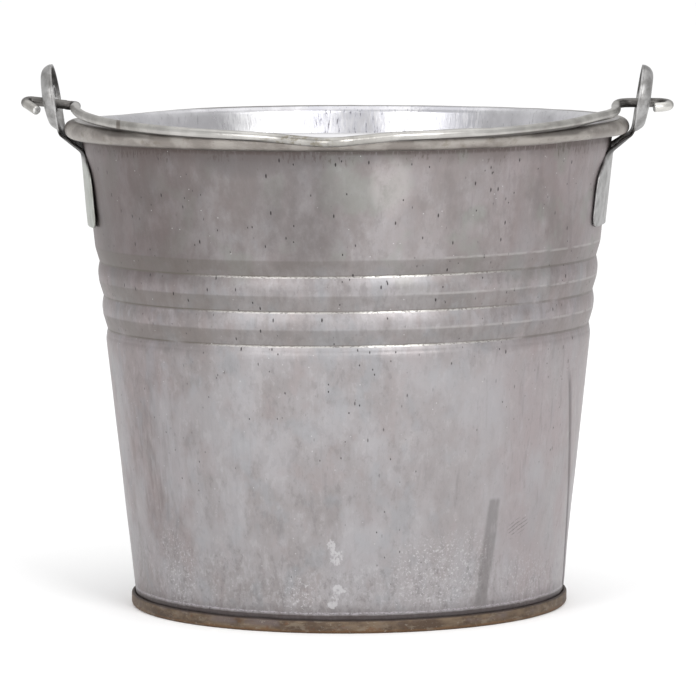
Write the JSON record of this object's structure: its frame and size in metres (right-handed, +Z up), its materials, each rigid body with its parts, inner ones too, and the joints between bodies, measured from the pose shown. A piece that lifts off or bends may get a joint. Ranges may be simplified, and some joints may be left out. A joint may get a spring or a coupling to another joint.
{
  "type": "ice bucket",
  "caption": "Small tapered metal pail with rolled rim, pressed grooves, raised bottom in a foot ring, and a hooked wire bail that folds down over the rim.",
  "frame": {"origin": "centre of the foot ring, on the plane the bucket stands on", "axes": "+Z up along the bucket's axis, +X through the right ear, -Y towards the side the bail is folded down on"},
  "size_m": [0.2076, 0.1892, 0.1728],
  "materials": {
    "wall_zinc": "weathered galvanised steel, mottled grey",
    "ear_zinc": "galvanised steel, satin",
    "bail_zinc": "galvanised wire, satin",
    "wire_steel": "plain drawn wire",
    "rusty_foot": "rust-stained galvanised steel",
    "seal": "set sealing compound"
  },
  "bodies": {
    "bucket": {"side_wall": "wall_zinc", "rim_wire": "wire_steel", "bottom_pan": "rusty_foot", "seam_compound": "seal", "ear_right": "ear_zinc", "ear_left": "ear_zinc"},
    "bail": {"bail": "bail_zinc"}
  },
  "joints": [
    {"name": "bail_swing", "type": "hinge", "parent": "bucket", "child": "bail", "pos_m": [0, 0, 0.16], "axis": [-1, 0, 0], "range_deg": [0, 187.5]}
  ]
}
